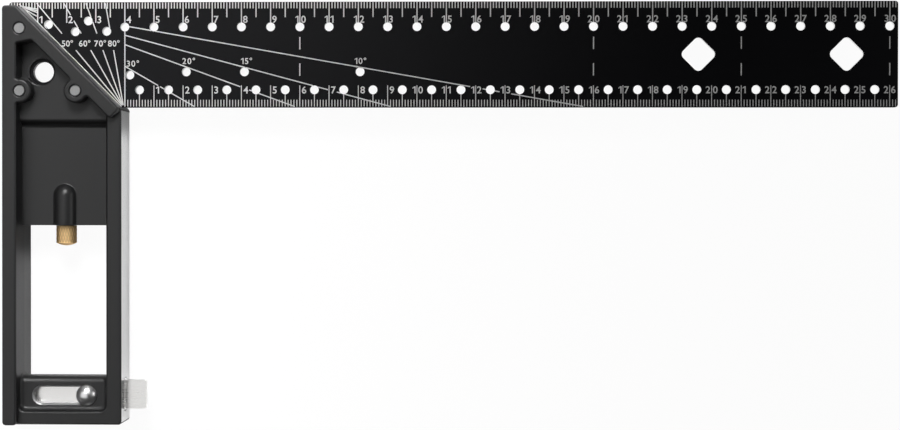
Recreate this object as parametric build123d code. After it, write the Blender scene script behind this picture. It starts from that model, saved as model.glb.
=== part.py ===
from build123d import *

import math
import os

# A carpenter's square lying flat on its back: a long steel blade riveted into a cast stock.
# Sizes are in millimetres. Plan places are given as "across" from the stock's outer face and
# "down" from the blade's top edge, or "up" from the foot of the blade or stock; depths are
# half-thicknesses about the blade's middle plane.

# Blade
blade_reach = 302.8
blade_height = 36.0
blade_thickness = 2.0
blade_inset = 0.2
blade_corner_radius = 1.0
slot_face_room = 0.05
slot_foot_room = 0.1

# Marking holes in the blade
mark_pitch = 10.0
mark_hole_radius = 1.5
mark_end_wall = 1.0
upper_row_down = 8.5
lower_row_up = 6.0
low_angle_holes = ((1.7, 24.9), (21.1, 23.85), (41.05, 23.85), (80.6, 23.85))
high_angle_holes = ((26.3, 7.6), (17.05, 10.05), (12.55, 6.4), (6.25, 9.95))

# Diamond windows in the blade
diamond_side = 9.0
diamond_corner_radius = 1.8
diamond_from_end = 17.3
diamond_pitch = 50.0
diamond_count = 2

# Stock casting
stock_width = 40.0
stock_foot = 144.0
blade_proud = 1.9
rail_width = 4.85
stop_width = 5.2
head_half = 10.0
stop_half = 7.0
mitre_line = 3.0
rim_width = 4.7
head_edge_radius = 0.8
stop_edge_radius = 0.6
foot_corner_radius = 1.1
notch_radius = 0.8
rim_end_radius = 1.2
draft_bulge = 0.25
floor_tuck = 1.5
overrun = 1.0

# Pocket in the head
pocket_corner_down = 14.7
pocket_apex_across = 10.05
plateau_half = 4.9
plateau_below_blade = 4.9
plateau_edge_radius = 1.4
plateau_cove_radius = 1.9
plateau_slope = 0.95
web_half = 2.4

# Finger window and the shelf below it
window_top_down = 76.3
window_foot_up = 16.3
shelf_half = 4.5
shelf_nose_radius = 2.3
foot_rail_width = 4.5
recess_corner_radius = 2.5
cove_share = 0.9

# Hanging hole in the blade, and the well round it in the head's floor
hang_hole_radius = 3.5
hang_hole_across = 12.05
hang_hole_up = 12.1
hang_hole_stock_room = 1.1
hang_hole_chamfer = 0.4
well_half = 2.0
well_lip_left_down = 1.8
well_lip_middle = (-4.6, 2.1)
well_lip_right = (-2.1, 3.7)

# Rivets through stock and blade
rivet_radius = 1.9
rivet_room = 0.03
rivet_sunk = 0.1
rivet_end_chamfer = 0.25
rivet_countersink = 0.4
rivet_boss_radius = 4.0
rivet_left_across = 5.95
rivet_right_across = 24.95
rivet_high_down = 9.7
rivet_low_up = 5.2

# Sliding support: plate, thumb stud, rear cap and friction spring
plate_length = 39.4
plate_height = 9.8
plate_thickness = 2.0
plate_corner_radius = 0.8
slide_up = 9.8
slide_travel = 15.2
slide_room = 0.15
channel_face_room = 0.1
channel_mouth_chamfer = 0.8
stud_shank_radius = 2.7
stud_tenon_radius = 1.7
stud_tenon_room = 0.01
stud_head_radius = 3.5
stud_head_height = 2.2
stud_head_rim = 0.4
stud_head_gap = 0.15
thumb_slot_room = 0.1
thumb_slot_chamfer = 0.6
spring_chord = 11.0
spring_rise = 0.85
spring_strip = 0.25
spring_width = 1.8
spring_gap = 0.05
spring_pocket_room = 0.2

# Scriber stowed in its boss
scriber_across = 19.7
scriber_boss_radius = 4.0
scriber_boss_lift = 1.2
scriber_boss_top_down = 62.3
scriber_boss_fillet = 0.5
knob_radius = 3.5
knob_length = 6.85
knob_gap = 0.1
knob_end_radius = 0.7
shank_radius = 2.35
shank_length = 6.2
shank_room = 0.05
shank_end_room = 0.4
groove_depth = 0.8
groove_width = 1.0
groove_from_knob = 2.4
ring_room = 0.03
needle_radius = 1.0
needle_room = 0.01
needle_bore_room = 0.2
needle_reach = 4.9
needle_point = 2.0
needle_tip_radius = 0.12
needle_seat = 4.5

# Worked out from the sizes above
outer_x = -blade_reach / 2
top_y = stock_foot / 2
mid_z = head_half
mitre_foot_down = stock_width - mitre_line
rim_line = rim_width * math.sqrt(2) - mitre_line
pocket_apex_down = pocket_apex_across + rim_line
plateau_down = blade_height + plateau_below_blade
hang_hole_down = blade_height - hang_hole_up
rivet_low_down = blade_height - rivet_low_up
window_foot_down = stock_foot - window_foot_up
slide_down = stock_foot - slide_up
recess_down = stock_foot - foot_rail_width
inner_right = stock_width - stop_width
slot_half = blade_thickness / 2 + slot_face_room
slot_foot = blade_height + slot_foot_room
channel_half = plate_thickness / 2 + channel_face_room
cove_radius = cove_share * (stop_half - stop_edge_radius - shelf_half)
slide_centre = stock_width / 2
stud_across = slide_centre + slide_travel / 2
plate_foot_down = slide_down + plate_height / 2
stud_foot = shelf_half + stud_head_gap
slot_length = slide_travel + 2 * stud_shank_radius + 2 * slide_room
slot_width = 2 * (stud_shank_radius + thumb_slot_room)
rivets = {
    "corner_rivet": (rivet_left_across, rivet_high_down),
    "heel_rivet": (rivet_left_across, rivet_low_down),
    "mitre_rivet": (rivet_right_across, rivet_low_down),
}


def at(across, down):
    """Plan point of the frame for a place given across the stock and down the blade."""
    return outer_x + across, top_y - down


def outline(points):
    """Flat face through plan points."""
    return make_face(Polyline([at(*point) for point in points], close=True))


def slab(face, half):
    """Prism of a plan face, standing equally to both sides of the middle plane."""
    return Pos(0, 0, mid_z) * extrude(face, half, both=True)


def block(left, right, top, foot, half):
    """Rectangular prism between two places across and two places down."""
    return slab(outline([(left, top), (right, top), (right, foot), (left, foot)]), half)


def rounded(face, inside, outside):
    """Plan face with its inside corners and its outside corners rounded."""
    grown = offset(face, inside, kind=Kind.ARC)
    shrunk = offset(grown, -inside - outside, kind=Kind.ARC)
    return offset(shrunk, outside, kind=Kind.ARC)


def eased(solid, radius):
    """Prism with the edges of its front and back faces rounded over."""
    return fillet(solid.faces().filter_by(Axis.Z).edges(), radius)


def upright(across, down, radius, half):
    """Round bar square to the blade, centred on the middle plane."""
    return Pos(*at(across, down), mid_z) * Cylinder(radius, 2 * half)


def both_faces(solid):
    """A solid and its mirror image behind the middle plane."""
    return solid + mirror(solid, Plane.XY.offset(mid_z))


def countersinks(across, down, radius, size, half):
    """Conical mouths at the two ends of an upright hole."""
    cone = Cone(radius, radius + size, size)
    return both_faces(Pos(*at(across, down), mid_z + half - size / 2) * cone)


def along_handle(across, near, far, radius):
    """Round bar along the handle, between two places down."""
    x, y = at(across, (near + far) / 2)
    return Pos(x, y, mid_z) * Rot(90, 0, 0) * Cylinder(radius, far - near)


def head_and_rail():
    """Tall part of the casting: outer rail, head rim and the two lower rivet bosses."""
    rail = outline([(0, blade_proud), (rail_width, blade_proud), (rail_width, stock_foot), (0, stock_foot)])
    rim_end = (stock_width - rim_width / math.sqrt(2), mitre_foot_down + rim_width / math.sqrt(2))
    rim = outline([
        (0, blade_proud),
        (blade_proud + mitre_line, blade_proud),
        (stock_width, mitre_foot_down),
        rim_end,
        (pocket_apex_across, pocket_apex_down),
        (rail_width, pocket_corner_down),
        (0, pocket_corner_down),
    ])
    plan = rail + rim
    for across in (rivet_left_across, rivet_right_across):
        plan += Pos(*at(across, rivet_low_down)) * Circle(rivet_boss_radius)
    return eased(slab(rounded(plan, notch_radius, rim_end_radius), head_half), head_edge_radius)


def stop_frame():
    """Lower part of the casting: stop rail, foot rail and the inside of the outer rail."""
    plan = outline([
        (0, blade_height),
        (rail_width, blade_height),
        (rail_width, recess_down),
        (inner_right, recess_down),
        (inner_right, inner_right - mitre_line),
        (stock_width, mitre_foot_down),
        (stock_width, stock_foot),
        (0, stock_foot),
    ])
    return eased(slab(rounded(plan, recess_corner_radius, foot_corner_radius), stop_half), stop_edge_radius)


def head_floor():
    """Floor of the head's pocket, which carries the blade slot, with the well round the hanging hole."""
    left = rail_width - floor_tuck
    top = min(pocket_corner_down, pocket_apex_down) - floor_tuck
    foot = plateau_down - floor_tuck
    tucked_line = rim_line - floor_tuck
    plan = outline([
        (left, top),
        (top - tucked_line, top),
        (foot - tucked_line, foot),
        (left, foot),
    ])
    floor = slab(plan, plateau_half)
    to_rim = (hang_hole_down - hang_hole_across - tucked_line) / 2
    well = outline([
        (left, top),
        (top - tucked_line, top),
        (hang_hole_across + to_rim, hang_hole_down - to_rim),
        (hang_hole_across, hang_hole_down),
        (hang_hole_across + well_lip_right[0], hang_hole_down + well_lip_right[1]),
        (hang_hole_across + well_lip_middle[0], hang_hole_down + well_lip_middle[1]),
        (left, hang_hole_down + well_lip_left_down),
    ])
    return floor - both_faces(Pos(0, 0, mid_z + well_half) * extrude(well, plateau_half))


def plateau_foot():
    """Lower end of the head's floor, which runs down to the web in a soft step."""
    left = rail_width - floor_tuck
    right = inner_right + floor_tuck
    step = plateau_down + plateau_slope
    front = [
        (at(0, plateau_down - 2 * floor_tuck)[1], plateau_half),
        (at(0, plateau_down)[1], plateau_half),
        (at(0, step)[1], web_half),
        (at(0, step + 2 * floor_tuck)[1], web_half),
    ]
    back = [(y, -height) for y, height in reversed(front)]
    section = make_face(Polyline(front + back, close=True))
    section = fillet(section.vertices().group_by(Axis.X)[2], plateau_edge_radius)
    section = fillet(section.vertices().group_by(Axis.X)[1], plateau_cove_radius)
    return Pos(at(left, 0)[0], 0, mid_z) * extrude(Plane.YZ * section, right - left)


def scriber_boss():
    """Round-backed boss that houses the scriber, domed at its upper end."""
    rise = web_half - scriber_boss_lift
    dome_down = scriber_boss_top_down + math.sqrt(scriber_boss_radius**2 - rise**2)
    x, y = at(scriber_across, window_top_down)
    dome = at(scriber_across, dome_down)
    ridge = Pos(*dome, mid_z + scriber_boss_lift) * Sphere(scriber_boss_radius)
    end = upright(scriber_across, dome_down, scriber_boss_radius, scriber_boss_lift) + both_faces(ridge)
    section = SlotCenterToCenter(2 * scriber_boss_lift, 2 * scriber_boss_radius, rotation=90)
    bar = extrude(Plane.XZ * section, window_top_down - dome_down)
    return end + Pos(x, dome[1], mid_z) * bar


def web():
    """Thin web between head and window, with the boss that houses the scriber."""
    left = rail_width - floor_tuck
    right = inner_right + floor_tuck
    floor = block(left, right, plateau_down, window_top_down, web_half)
    boss = scriber_boss()
    body = floor + boss
    window_y = at(scriber_across, window_top_down)[1]
    seams = new_edges(floor, boss, combined=body)
    feet = seams.filter_by(lambda edge: edge.bounding_box().max.Y > window_y + scriber_boss_fillet)
    return fillet(feet, scriber_boss_fillet)


def shelf():
    """Shelf below the window, with a rounded nose."""
    left = rail_width - floor_tuck
    right = inner_right + floor_tuck
    body = block(left, right, window_foot_down, recess_down + floor_tuck, shelf_half)
    return fillet(body.edges().filter_by(Axis.X).group_by(Axis.Y)[-1], shelf_nose_radius)


def stop_frame_with_shelf():
    """Lower part of the casting and its shelf, joined by a cove all round the recess."""
    frame, ledge = stop_frame(), shelf()
    joined = frame + ledge
    return fillet(new_edges(frame, ledge, combined=joined), cove_radius)


def draft_wedge(wall, half, edge_radius, outward):
    """Shallow ridge along a side wall of the window, where the two halves of the mould met."""
    x = at(wall, 0)[0]
    height = half - edge_radius
    section = Plane.XZ * make_face(Polyline(
        (x, mid_z + height), (x + outward * draft_bulge, mid_z), (x, mid_z - height), close=True
    ))
    top = at(0, plateau_down)[1]
    foot = at(0, recess_down)[1]
    return Pos(0, top, 0) * extrude(section, top - foot)


def thumb_slot(extra):
    """Round-ended plan face of the slot that the thumb stud runs in."""
    return Pos(*at(slide_centre, slide_down)) * SlotOverall(slot_length + 2 * extra, slot_width + 2 * extra)


def channel():
    """Straight way through the shelf for the support plate, with flared mouths and a spring pocket."""
    height = plate_height + 2 * slide_room
    x, y = at(slide_centre, slide_down)
    way = Pos(x, y, mid_z) * Box(stock_width, height, 2 * channel_half)
    grow = 2 * channel_mouth_chamfer
    for side in (-1, 1):
        mouth = Plane((x + side * stock_width / 2, y, mid_z), x_dir=(0, 1, 0), z_dir=(-side, 0, 0))
        flare = mouth * RectangleRounded(height + grow, 2 * channel_half + grow, channel_mouth_chamfer)
        way += extrude(flare, channel_mouth_chamfer, taper=45)
    pocket_depth = spring_rise + spring_strip + spring_gap + spring_pocket_room
    pocket_width = spring_chord + 2 * spring_strip + 2 * spring_pocket_room
    pocket = Box(pocket_width, pocket_depth, spring_width + spring_pocket_room)
    return way + Pos(*at(slide_centre, plate_foot_down + pocket_depth / 2), mid_z) * pocket


def stock():
    """Cast handle of the square, with its slots, bores and holes cut."""
    body = head_and_rail() + stop_frame_with_shelf() + head_floor() + plateau_foot() + web()
    body += draft_wedge(rail_width, head_half, head_edge_radius, 1)
    body += draft_wedge(inner_right, stop_half, stop_edge_radius, -1)
    body -= block(-overrun, stock_width + overrun, -overrun, slot_foot, slot_half)
    for across, down in rivets.values():
        body -= upright(across, down, rivet_radius + rivet_room, head_half + overrun)
        body -= countersinks(across, down, rivet_radius + rivet_room, rivet_countersink, head_half)
    hole_radius = hang_hole_radius + hang_hole_stock_room
    body -= upright(hang_hole_across, hang_hole_down, hole_radius, plateau_half + overrun)
    body -= countersinks(hang_hole_across, hang_hole_down, hole_radius, hang_hole_chamfer, plateau_half)
    body -= channel()
    body -= slab(thumb_slot(0), shelf_half + overrun)
    floor = Pos(0, 0, mid_z + shelf_half) * thumb_slot(thumb_slot_chamfer)
    body -= both_faces(extrude(floor, -thumb_slot_chamfer, taper=45))
    bore_end = window_top_down - shank_length - shank_end_room
    body -= along_handle(scriber_across, bore_end, window_top_down, shank_radius + shank_room)
    needle_end = window_top_down - shank_length - needle_reach - shank_end_room
    body -= along_handle(scriber_across, needle_end, window_top_down, needle_radius + needle_bore_room)
    return body


def marking_holes():
    """Plan places of all round holes in the blade, across and down."""
    last = blade_reach - mark_hole_radius - mark_end_wall
    lower_row_down = blade_height - lower_row_up
    places = []
    for first, down in ((stock_width, upper_row_down), (stock_width + mark_pitch / 2, lower_row_down)):
        count = int((last - first) / mark_pitch) + 1
        places += [(first + mark_pitch * step, down) for step in range(count)]
    places += [(stock_width + past, down) for past, down in low_angle_holes]
    places += [(stock_width - short, down) for short, down in high_angle_holes]
    return places


def blade():
    """Flat steel blade with its marking holes, diamond windows and rivet holes."""
    plan = outline([
        (blade_inset, 0),
        (blade_reach, 0),
        (blade_reach, blade_height),
        (blade_inset, blade_height),
    ])
    plan = fillet(plan.vertices(), blade_corner_radius)
    for across, down in marking_holes():
        plan -= Pos(*at(across, down)) * Circle(mark_hole_radius)
    for step in range(diamond_count):
        centre = at(blade_reach - diamond_from_end - diamond_pitch * step, blade_height / 2)
        window = RectangleRounded(diamond_side, diamond_side, diamond_corner_radius)
        plan -= Pos(*centre) * Rot(0, 0, 45) * window
    for across, down in rivets.values():
        plan -= Pos(*at(across, down)) * Circle(rivet_radius + rivet_room)
    plan -= Pos(*at(hang_hole_across, hang_hole_down)) * Circle(hang_hole_radius)
    return slab(plan, blade_thickness / 2)


def rivet(across, down):
    """Plain rivet pin, a little below the head's faces at both ends."""
    pin = upright(across, down, rivet_radius, head_half - rivet_sunk)
    return chamfer(pin.edges().filter_by(GeomType.CIRCLE), rivet_end_chamfer)


def support_plate():
    """Flat sliding plate that steadies the stock, with the hole for the stud's tenon."""
    centre = Pos(*at(stud_across, slide_down))
    plan = centre * RectangleRounded(plate_length, plate_height, plate_corner_radius)
    plan -= centre * Circle(stud_tenon_radius + stud_tenon_room)
    return slab(plan, plate_thickness / 2)


def stud_body():
    """Shank and domed head of the stud in front of the plate."""
    plate_face = plate_thickness / 2
    crown = stud_head_height - stud_head_rim
    crown_radius = (stud_head_radius**2 + crown**2) / (2 * crown)
    head = Pos(0, 0, stud_foot + stud_head_height / 2) * Cylinder(stud_head_radius, stud_head_height)
    head &= Pos(0, 0, stud_foot + stud_head_height - crown_radius) * Sphere(crown_radius)
    shank = Pos(0, 0, (plate_face + stud_foot) / 2) * Cylinder(stud_shank_radius, stud_foot - plate_face)
    return Pos(*at(stud_across, slide_down), mid_z) * (head + shank)


def thumb_stud():
    """Front stud, with the tenon that passes through plate and rear cap."""
    x, y = at(stud_across, slide_down)
    length = plate_thickness / 2 + stud_foot
    return stud_body() + Pos(x, y, mid_z - stud_foot + length / 2) * Cylinder(stud_tenon_radius, length)


def stud_cap():
    """Rear cap of the stud, bored for the tenon."""
    x, y = at(stud_across, slide_down)
    cap = mirror(stud_body(), Plane.XY.offset(mid_z))
    depth = stud_foot + stud_tenon_room
    return cap - Pos(x, y, mid_z - depth / 2) * Cylinder(stud_tenon_radius + stud_tenon_room, depth)


def slide_spring():
    """Bowed leaf spring under the plate, which holds it by friction."""
    crest = plate_foot_down + spring_gap
    foot = crest + spring_rise
    half_chord = spring_chord / 2
    upper = ThreePointArc(
        at(slide_centre - half_chord, foot), at(slide_centre, crest), at(slide_centre + half_chord, foot)
    )
    lower = ThreePointArc(
        at(slide_centre + half_chord, foot + spring_strip),
        at(slide_centre, crest + spring_strip),
        at(slide_centre - half_chord, foot + spring_strip),
    )
    ends = Line(upper @ 1, lower @ 0) + Line(lower @ 1, upper @ 0)
    return slab(make_face(upper + lower + ends), spring_width / 2)


def scriber_knob():
    """Knob of the scriber with its shank, ring groove and the seat of the needle."""
    near = window_top_down + knob_gap
    far = near + knob_length
    knob = along_handle(scriber_across, near, far, knob_radius)
    end = knob.edges().filter_by(GeomType.CIRCLE).sort_by(Axis.Y)[0]
    knob = fillet(end, knob_end_radius)
    shank = along_handle(scriber_across, near - knob_gap - shank_length, near, shank_radius)
    groove_far = near - groove_from_knob
    groove_near = groove_far - groove_width
    groove = along_handle(scriber_across, groove_near, groove_far, shank_radius + overrun)
    groove -= along_handle(scriber_across, groove_near, groove_far, shank_radius - groove_depth)
    seat_near = near - shank_length - overrun
    seat = along_handle(scriber_across, seat_near, near + needle_seat, needle_radius + needle_room)
    return knob + shank - groove - seat


def scriber_needle():
    """Hard steel needle of the scriber, seated in the knob."""
    near = window_top_down - shank_length - needle_reach
    far = window_top_down + knob_gap + needle_seat
    needle = along_handle(scriber_across, near, far, needle_radius)
    point = Pos(*at(scriber_across, near + needle_point / 2), mid_z) * Rot(-90, 0, 0)
    sleeve = along_handle(scriber_across, near, near + needle_point, needle_radius + overrun)
    return needle - (sleeve - point * Cone(needle_radius, needle_tip_radius, needle_point))


def scriber_ring():
    """Rubber ring in the shank's groove, which grips the bore."""
    outer = shank_radius + shank_room - ring_room
    inner = shank_radius - groove_depth + ring_room
    section = (outer - inner) / 2
    down = window_top_down + knob_gap - groove_from_knob - groove_width / 2
    return Pos(*at(scriber_across, down), mid_z) * Rot(90, 0, 0) * Torus(inner + section, section)


os.makedirs("parts", exist_ok=True)
pieces = {
    "stock": stock(),
    "blade": blade(),
    "support_plate": support_plate(),
    "thumb_stud": thumb_stud(),
    "stud_cap": stud_cap(),
    "slide_spring": slide_spring(),
    "scriber_knob": scriber_knob(),
    "scriber_needle": scriber_needle(),
    "scriber_ring": scriber_ring(),
}
pieces.update({name: rivet(*place) for name, place in rivets.items()})
for name, piece in pieces.items():
    export_step(piece, f"parts/{name}.step")
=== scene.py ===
"""Dresses the carpenter's square: finishes, printed graduation, knurled knob, light and camera."""

import logging
import math
from dataclasses import dataclass, field, replace
from enum import Enum

import bmesh
import bpy
from mathutils import Matrix, Vector


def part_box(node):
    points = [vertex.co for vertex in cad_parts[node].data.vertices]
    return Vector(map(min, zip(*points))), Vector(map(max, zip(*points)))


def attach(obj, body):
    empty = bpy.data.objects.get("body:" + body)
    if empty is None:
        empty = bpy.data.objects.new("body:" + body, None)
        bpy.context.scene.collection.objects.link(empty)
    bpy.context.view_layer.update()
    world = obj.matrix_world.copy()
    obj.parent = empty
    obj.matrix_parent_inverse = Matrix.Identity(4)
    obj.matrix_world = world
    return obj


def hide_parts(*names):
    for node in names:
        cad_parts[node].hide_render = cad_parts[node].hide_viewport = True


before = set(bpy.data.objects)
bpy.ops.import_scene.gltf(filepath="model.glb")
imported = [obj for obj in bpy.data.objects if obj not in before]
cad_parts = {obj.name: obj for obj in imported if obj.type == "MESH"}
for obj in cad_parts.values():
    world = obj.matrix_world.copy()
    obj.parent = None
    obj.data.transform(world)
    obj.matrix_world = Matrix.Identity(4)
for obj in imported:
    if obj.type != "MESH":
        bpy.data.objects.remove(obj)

MM = 0.001
TINY = 1e-9
WELD = 1e-6
GRAIN_SHARE = 0.6
ROUGHNESS_SWING = 0.15
RGBA_INPUTS = (0, 6, 7)
RGBA_RESULT = 2
LOG = logging.getLogger("square")
Colour = tuple[float, float, float]
Rgba = tuple[float, float, float, float]
Face = bpy.types.MeshPolygon
Material = bpy.types.Material
Mesh = bpy.types.Mesh
Socket = bpy.types.NodeSocket
Tree = bpy.types.NodeTree
Work = bmesh.types.BMesh


class Side(Enum):
    """Faces of the blade that carry a graduation, with the sign of their height."""

    FRONT = 1
    BACK = -1


class Surface(Enum):
    """Surfaces of the casting, with the numbers of their materials."""

    COATED = 0
    BRIGHT = 1
    MILLED = 2
    MITRE = 3


class Grain(Enum):
    """Kinds of fine surface relief."""

    PEEL = "the soft dimples of a powder coat"
    BRUSHED = "long scratches along one direction"
    MATT = "an even fine grain"


class Nodes:
    """Adds nodes to one tree and links them."""

    def __init__(self, tree: Tree) -> None:
        """Takes the tree to fill."""
        self.tree = tree

    def add(self, kind: str, inputs: dict | None = None, **settings: object) -> bpy.types.Node:
        """Adds one node.

        Args:
            kind: the node's type name.
            inputs: a value or a source socket for each named or numbered input.
            settings: properties of the node.

        Returns:
            The new node.
        """
        node = self.tree.nodes.new(kind)
        for key, value in settings.items():
            setattr(node, key, value)
        for key, value in (inputs or {}).items():
            if isinstance(value, Socket):
                self.tree.links.new(value, node.inputs[key])
            else:
                node.inputs[key].default_value = value
        return node

    def math(self, operation: str, *values: object) -> Socket:
        """Adds a Math node on numbers or sockets and gives its output."""
        return self.add("ShaderNodeMath", dict(enumerate(values)), operation=operation).outputs[0]

    def parts_from(self, place: Socket, centre: object) -> bpy.types.bpy_prop_collection:
        """Sockets with the three distances of a place from a centre."""
        arm = self.add("ShaderNodeVectorMath", {0: place, 1: centre}, operation="SUBTRACT")
        return self.add("ShaderNodeSeparateXYZ", {0: arm.outputs[0]}).outputs

    def blend(self, share: Socket, *colours: object) -> Socket:
        """Mixes two colours by a share and gives the output."""
        inputs = dict(zip(RGBA_INPUTS, (share, *colours)))
        return self.add("ShaderNodeMix", inputs, data_type="RGBA").outputs[RGBA_RESULT]


NOISE_DETAIL = {Grain.BRUSHED: 6.0, Grain.MATT: 2.0}


@dataclass(frozen=True)
class Finish:
    """One surface finish, with grain in its colour, roughness and relief."""

    name: str
    colour: Colour
    roughness: float
    metallic: float = 0.0
    specular: float = 0.5
    grain: Grain = Grain.MATT
    grain_size: tuple[float, float, float] = (0.5, 0.5, 0.5)
    relief: float = 0.01
    tone: float = 0.1
    patch_size: float = 18.0
    groove_dark: float = 0.0

    def shade(self, share: float) -> Rgba:
        """Colour lightened or darkened by a share of itself."""
        return tuple(min(1.0, part * (1 + share)) for part in self.colour) + (1.0,)

    def height(self, nodes: Nodes, place: Socket) -> Socket:
        """Adds the nodes of the surface's relief.

        Args:
            nodes: the material's nodes.
            place: socket with places on the piece.

        Returns:
            Socket with a height from 0 to 1.
        """
        scale = tuple(1 / (size * MM) for size in self.grain_size)
        spread = nodes.add("ShaderNodeMapping", {"Vector": place, "Scale": scale})
        inputs = {"Vector": spread.outputs[0], "Scale": 1.0}
        if self.grain is Grain.PEEL:
            inputs["Smoothness"] = 1.0
            cells = nodes.add("ShaderNodeTexVoronoi", inputs, feature="SMOOTH_F1")
            return cells.outputs["Distance"]
        inputs["Detail"] = NOISE_DETAIL[self.grain]
        return nodes.add("ShaderNodeTexNoise", inputs).outputs[0]

    def material(self) -> Material:
        """Builds the node material.

        Returns:
            The new material.
        """
        made = bpy.data.materials.new(self.name)
        made.use_nodes = True
        made.node_tree.nodes.clear()
        nodes = Nodes(made.node_tree)
        place = nodes.add("ShaderNodeTexCoord").outputs["Object"]
        height = self.height(nodes, place)
        patches = nodes.add("ShaderNodeTexNoise", {
            "Vector": place, "Scale": 1 / (self.patch_size * MM),
        })
        mottled = nodes.math("MULTIPLY", patches.outputs[0], 1 - GRAIN_SHARE)
        mixed = nodes.math("MULTIPLY_ADD", height, GRAIN_SHARE, mottled)
        colour = nodes.blend(mixed, self.shade(-self.tone), self.shade(self.tone))
        # Grooves darken by the stored attribute: dirt and painted shade in the knurl, painted
        # shade next to the boss's mouth.
        if self.groove_dark:
            groove = nodes.add("ShaderNodeAttribute", attribute_name="groove").outputs["Fac"]
            colour = nodes.blend(groove, colour, self.shade(-self.groove_dark))
        rough = nodes.add("ShaderNodeMapRange", {
            "Value": mixed,
            "To Min": self.roughness * (1 - ROUGHNESS_SWING),
            "To Max": self.roughness * (1 + ROUGHNESS_SWING),
        })
        bump = nodes.add("ShaderNodeBump", {
            "Height": height, "Distance": self.relief * MM, "Strength": 1.0,
        })
        surface = nodes.add("ShaderNodeBsdfPrincipled", {
            "Base Color": colour,
            "Roughness": rough.outputs[0],
            "Metallic": self.metallic,
            "Specular IOR Level": self.specular,
            "Normal": bump.outputs[0],
        })
        nodes.add("ShaderNodeOutputMaterial", {"Surface": surface.outputs[0]})
        return made


POWDER_COAT = Finish(
    "powder_coat", (0.011, 0.011, 0.0114), 0.4, specular=0.5, grain=Grain.PEEL,
    grain_size=(0.35, 0.35, 0.35), relief=0.006, tone=0.12,
)
MACHINED = Finish(
    "machined_aluminium", (0.86, 0.86, 0.865), 0.24, 1.0, grain=Grain.BRUSHED,
    grain_size=(0.6, 9.0, 0.12), relief=0.0005, tone=0.08,
)
MILLED = Finish(
    "milled_aluminium", (0.4, 0.4, 0.404), 0.5, 1.0, grain=Grain.BRUSHED,
    grain_size=(0.6, 0.6, 0.25), relief=0.0003, tone=0.08,
)
# The mitre face: milled aluminium darkened as painted shade.
MITRE_SHADED = replace(MILLED, name="milled_mitre_painted_shade", colour=(0.25, 0.25, 0.254))
BLADE_COAT = Finish(
    "blade_coat", (0.003, 0.003, 0.0042), 0.38, specular=0.18, grain=Grain.BRUSHED,
    grain_size=(12.0, 0.3, 0.3), relief=0.0012, tone=0.25,
)
INK = Finish(
    "white_print", (0.76, 0.76, 0.755), 0.55, specular=0.3,
    grain_size=(0.2, 0.2, 0.2), relief=0.002, tone=0.06,
)
RIVET_STEEL = Finish(
    "rivet_steel", (0.3, 0.3, 0.3), 0.42, 1.0,
    grain_size=(0.15, 0.15, 0.4), relief=0.006, tone=0.18,
)
PLATE_STEEL = Finish(
    "plate_steel", (0.94, 0.93, 0.915), 0.28, 1.0, grain=Grain.BRUSHED,
    grain_size=(6.0, 0.12, 0.12), relief=0.0003, tone=0.04,
)
STUD_CHROME = Finish(
    "stud_chrome", (0.95, 0.95, 0.95), 0.3, 1.0,
    grain_size=(0.8, 0.8, 0.8), relief=0.0004, tone=0.04,
)
SPRING_STEEL = Finish(
    "spring_steel", (0.30, 0.30, 0.32), 0.35, 1.0, grain=Grain.BRUSHED,
    grain_size=(4.0, 0.2, 0.1), relief=0.001, tone=0.15,
)
# The knurl's grooves are darkened, partly as dirt and partly as painted shade.
KNOB_BRASS = Finish(
    "knob_brass", (1.0, 0.68, 0.34), 0.52, 1.0,
    grain_size=(0.2, 0.2, 0.2), relief=0.002, tone=0.06, groove_dark=0.3,
)
BARE_STEEL = Finish(
    "bare_steel", (0.86, 0.86, 0.86), 0.4, 1.0, grain=Grain.BRUSHED,
    grain_size=(0.15, 0.15, 1.5), relief=0.001, tone=0.08,
)
NEEDLE_STEEL = Finish(
    "needle_steel", (0.52, 0.52, 0.53), 0.25, 1.0, grain=Grain.BRUSHED,
    grain_size=(0.1, 3.0, 0.1), relief=0.001, tone=0.1,
)
RING_RUBBER = Finish(
    "ring_rubber", (0.018, 0.018, 0.018), 0.75,
    grain_size=(0.2, 0.2, 0.2), relief=0.004, tone=0.2,
)


@dataclass(frozen=True)
class Plan:
    """Turns places across the stock and down the blade, in millimetres, into frame points."""

    outer: float
    top: float
    middle: float

    @classmethod
    def of_frame(cls) -> "Plan":
        """Reads the datum edges from the CAD nodes."""
        low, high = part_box("blade")
        return cls(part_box("stock")[0].x, high.y, (low.z + high.z) / 2)

    def at(self, across: float, down: float, height: float = 0.0) -> Vector:
        """Frame point of a place, with its height above the blade's middle plane."""
        return Vector((self.outer + across * MM, self.top - down * MM, self.middle + height * MM))


def grey(level: float) -> Rgba:
    """Opaque grey of one level."""
    return (level, level, level, 1.0)


def new_object(name: str, mesh: Mesh, *materials: Material) -> bpy.types.Object:
    """Puts a mesh into the scene.

    Args:
        name: the piece's name.
        mesh: its mesh, already in place.
        materials: its materials in slot order, or none to keep the mesh's own.

    Returns:
        The new object at the origin.
    """
    if materials:
        mesh.materials.clear()
    for material in materials:
        mesh.materials.append(material)
    made = bpy.data.objects.new(name, mesh)
    bpy.context.scene.collection.objects.link(made)
    return made


def baked(source: bpy.types.Object) -> Mesh:
    """Plain mesh of an object with its modifiers, which is then removed.

    Args:
        source: the object to evaluate.

    Returns:
        The evaluated mesh.
    """
    graph = bpy.context.evaluated_depsgraph_get()
    mesh = bpy.data.meshes.new_from_object(source.evaluated_get(graph), depsgraph=graph)
    bpy.data.objects.remove(source)
    return mesh


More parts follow.
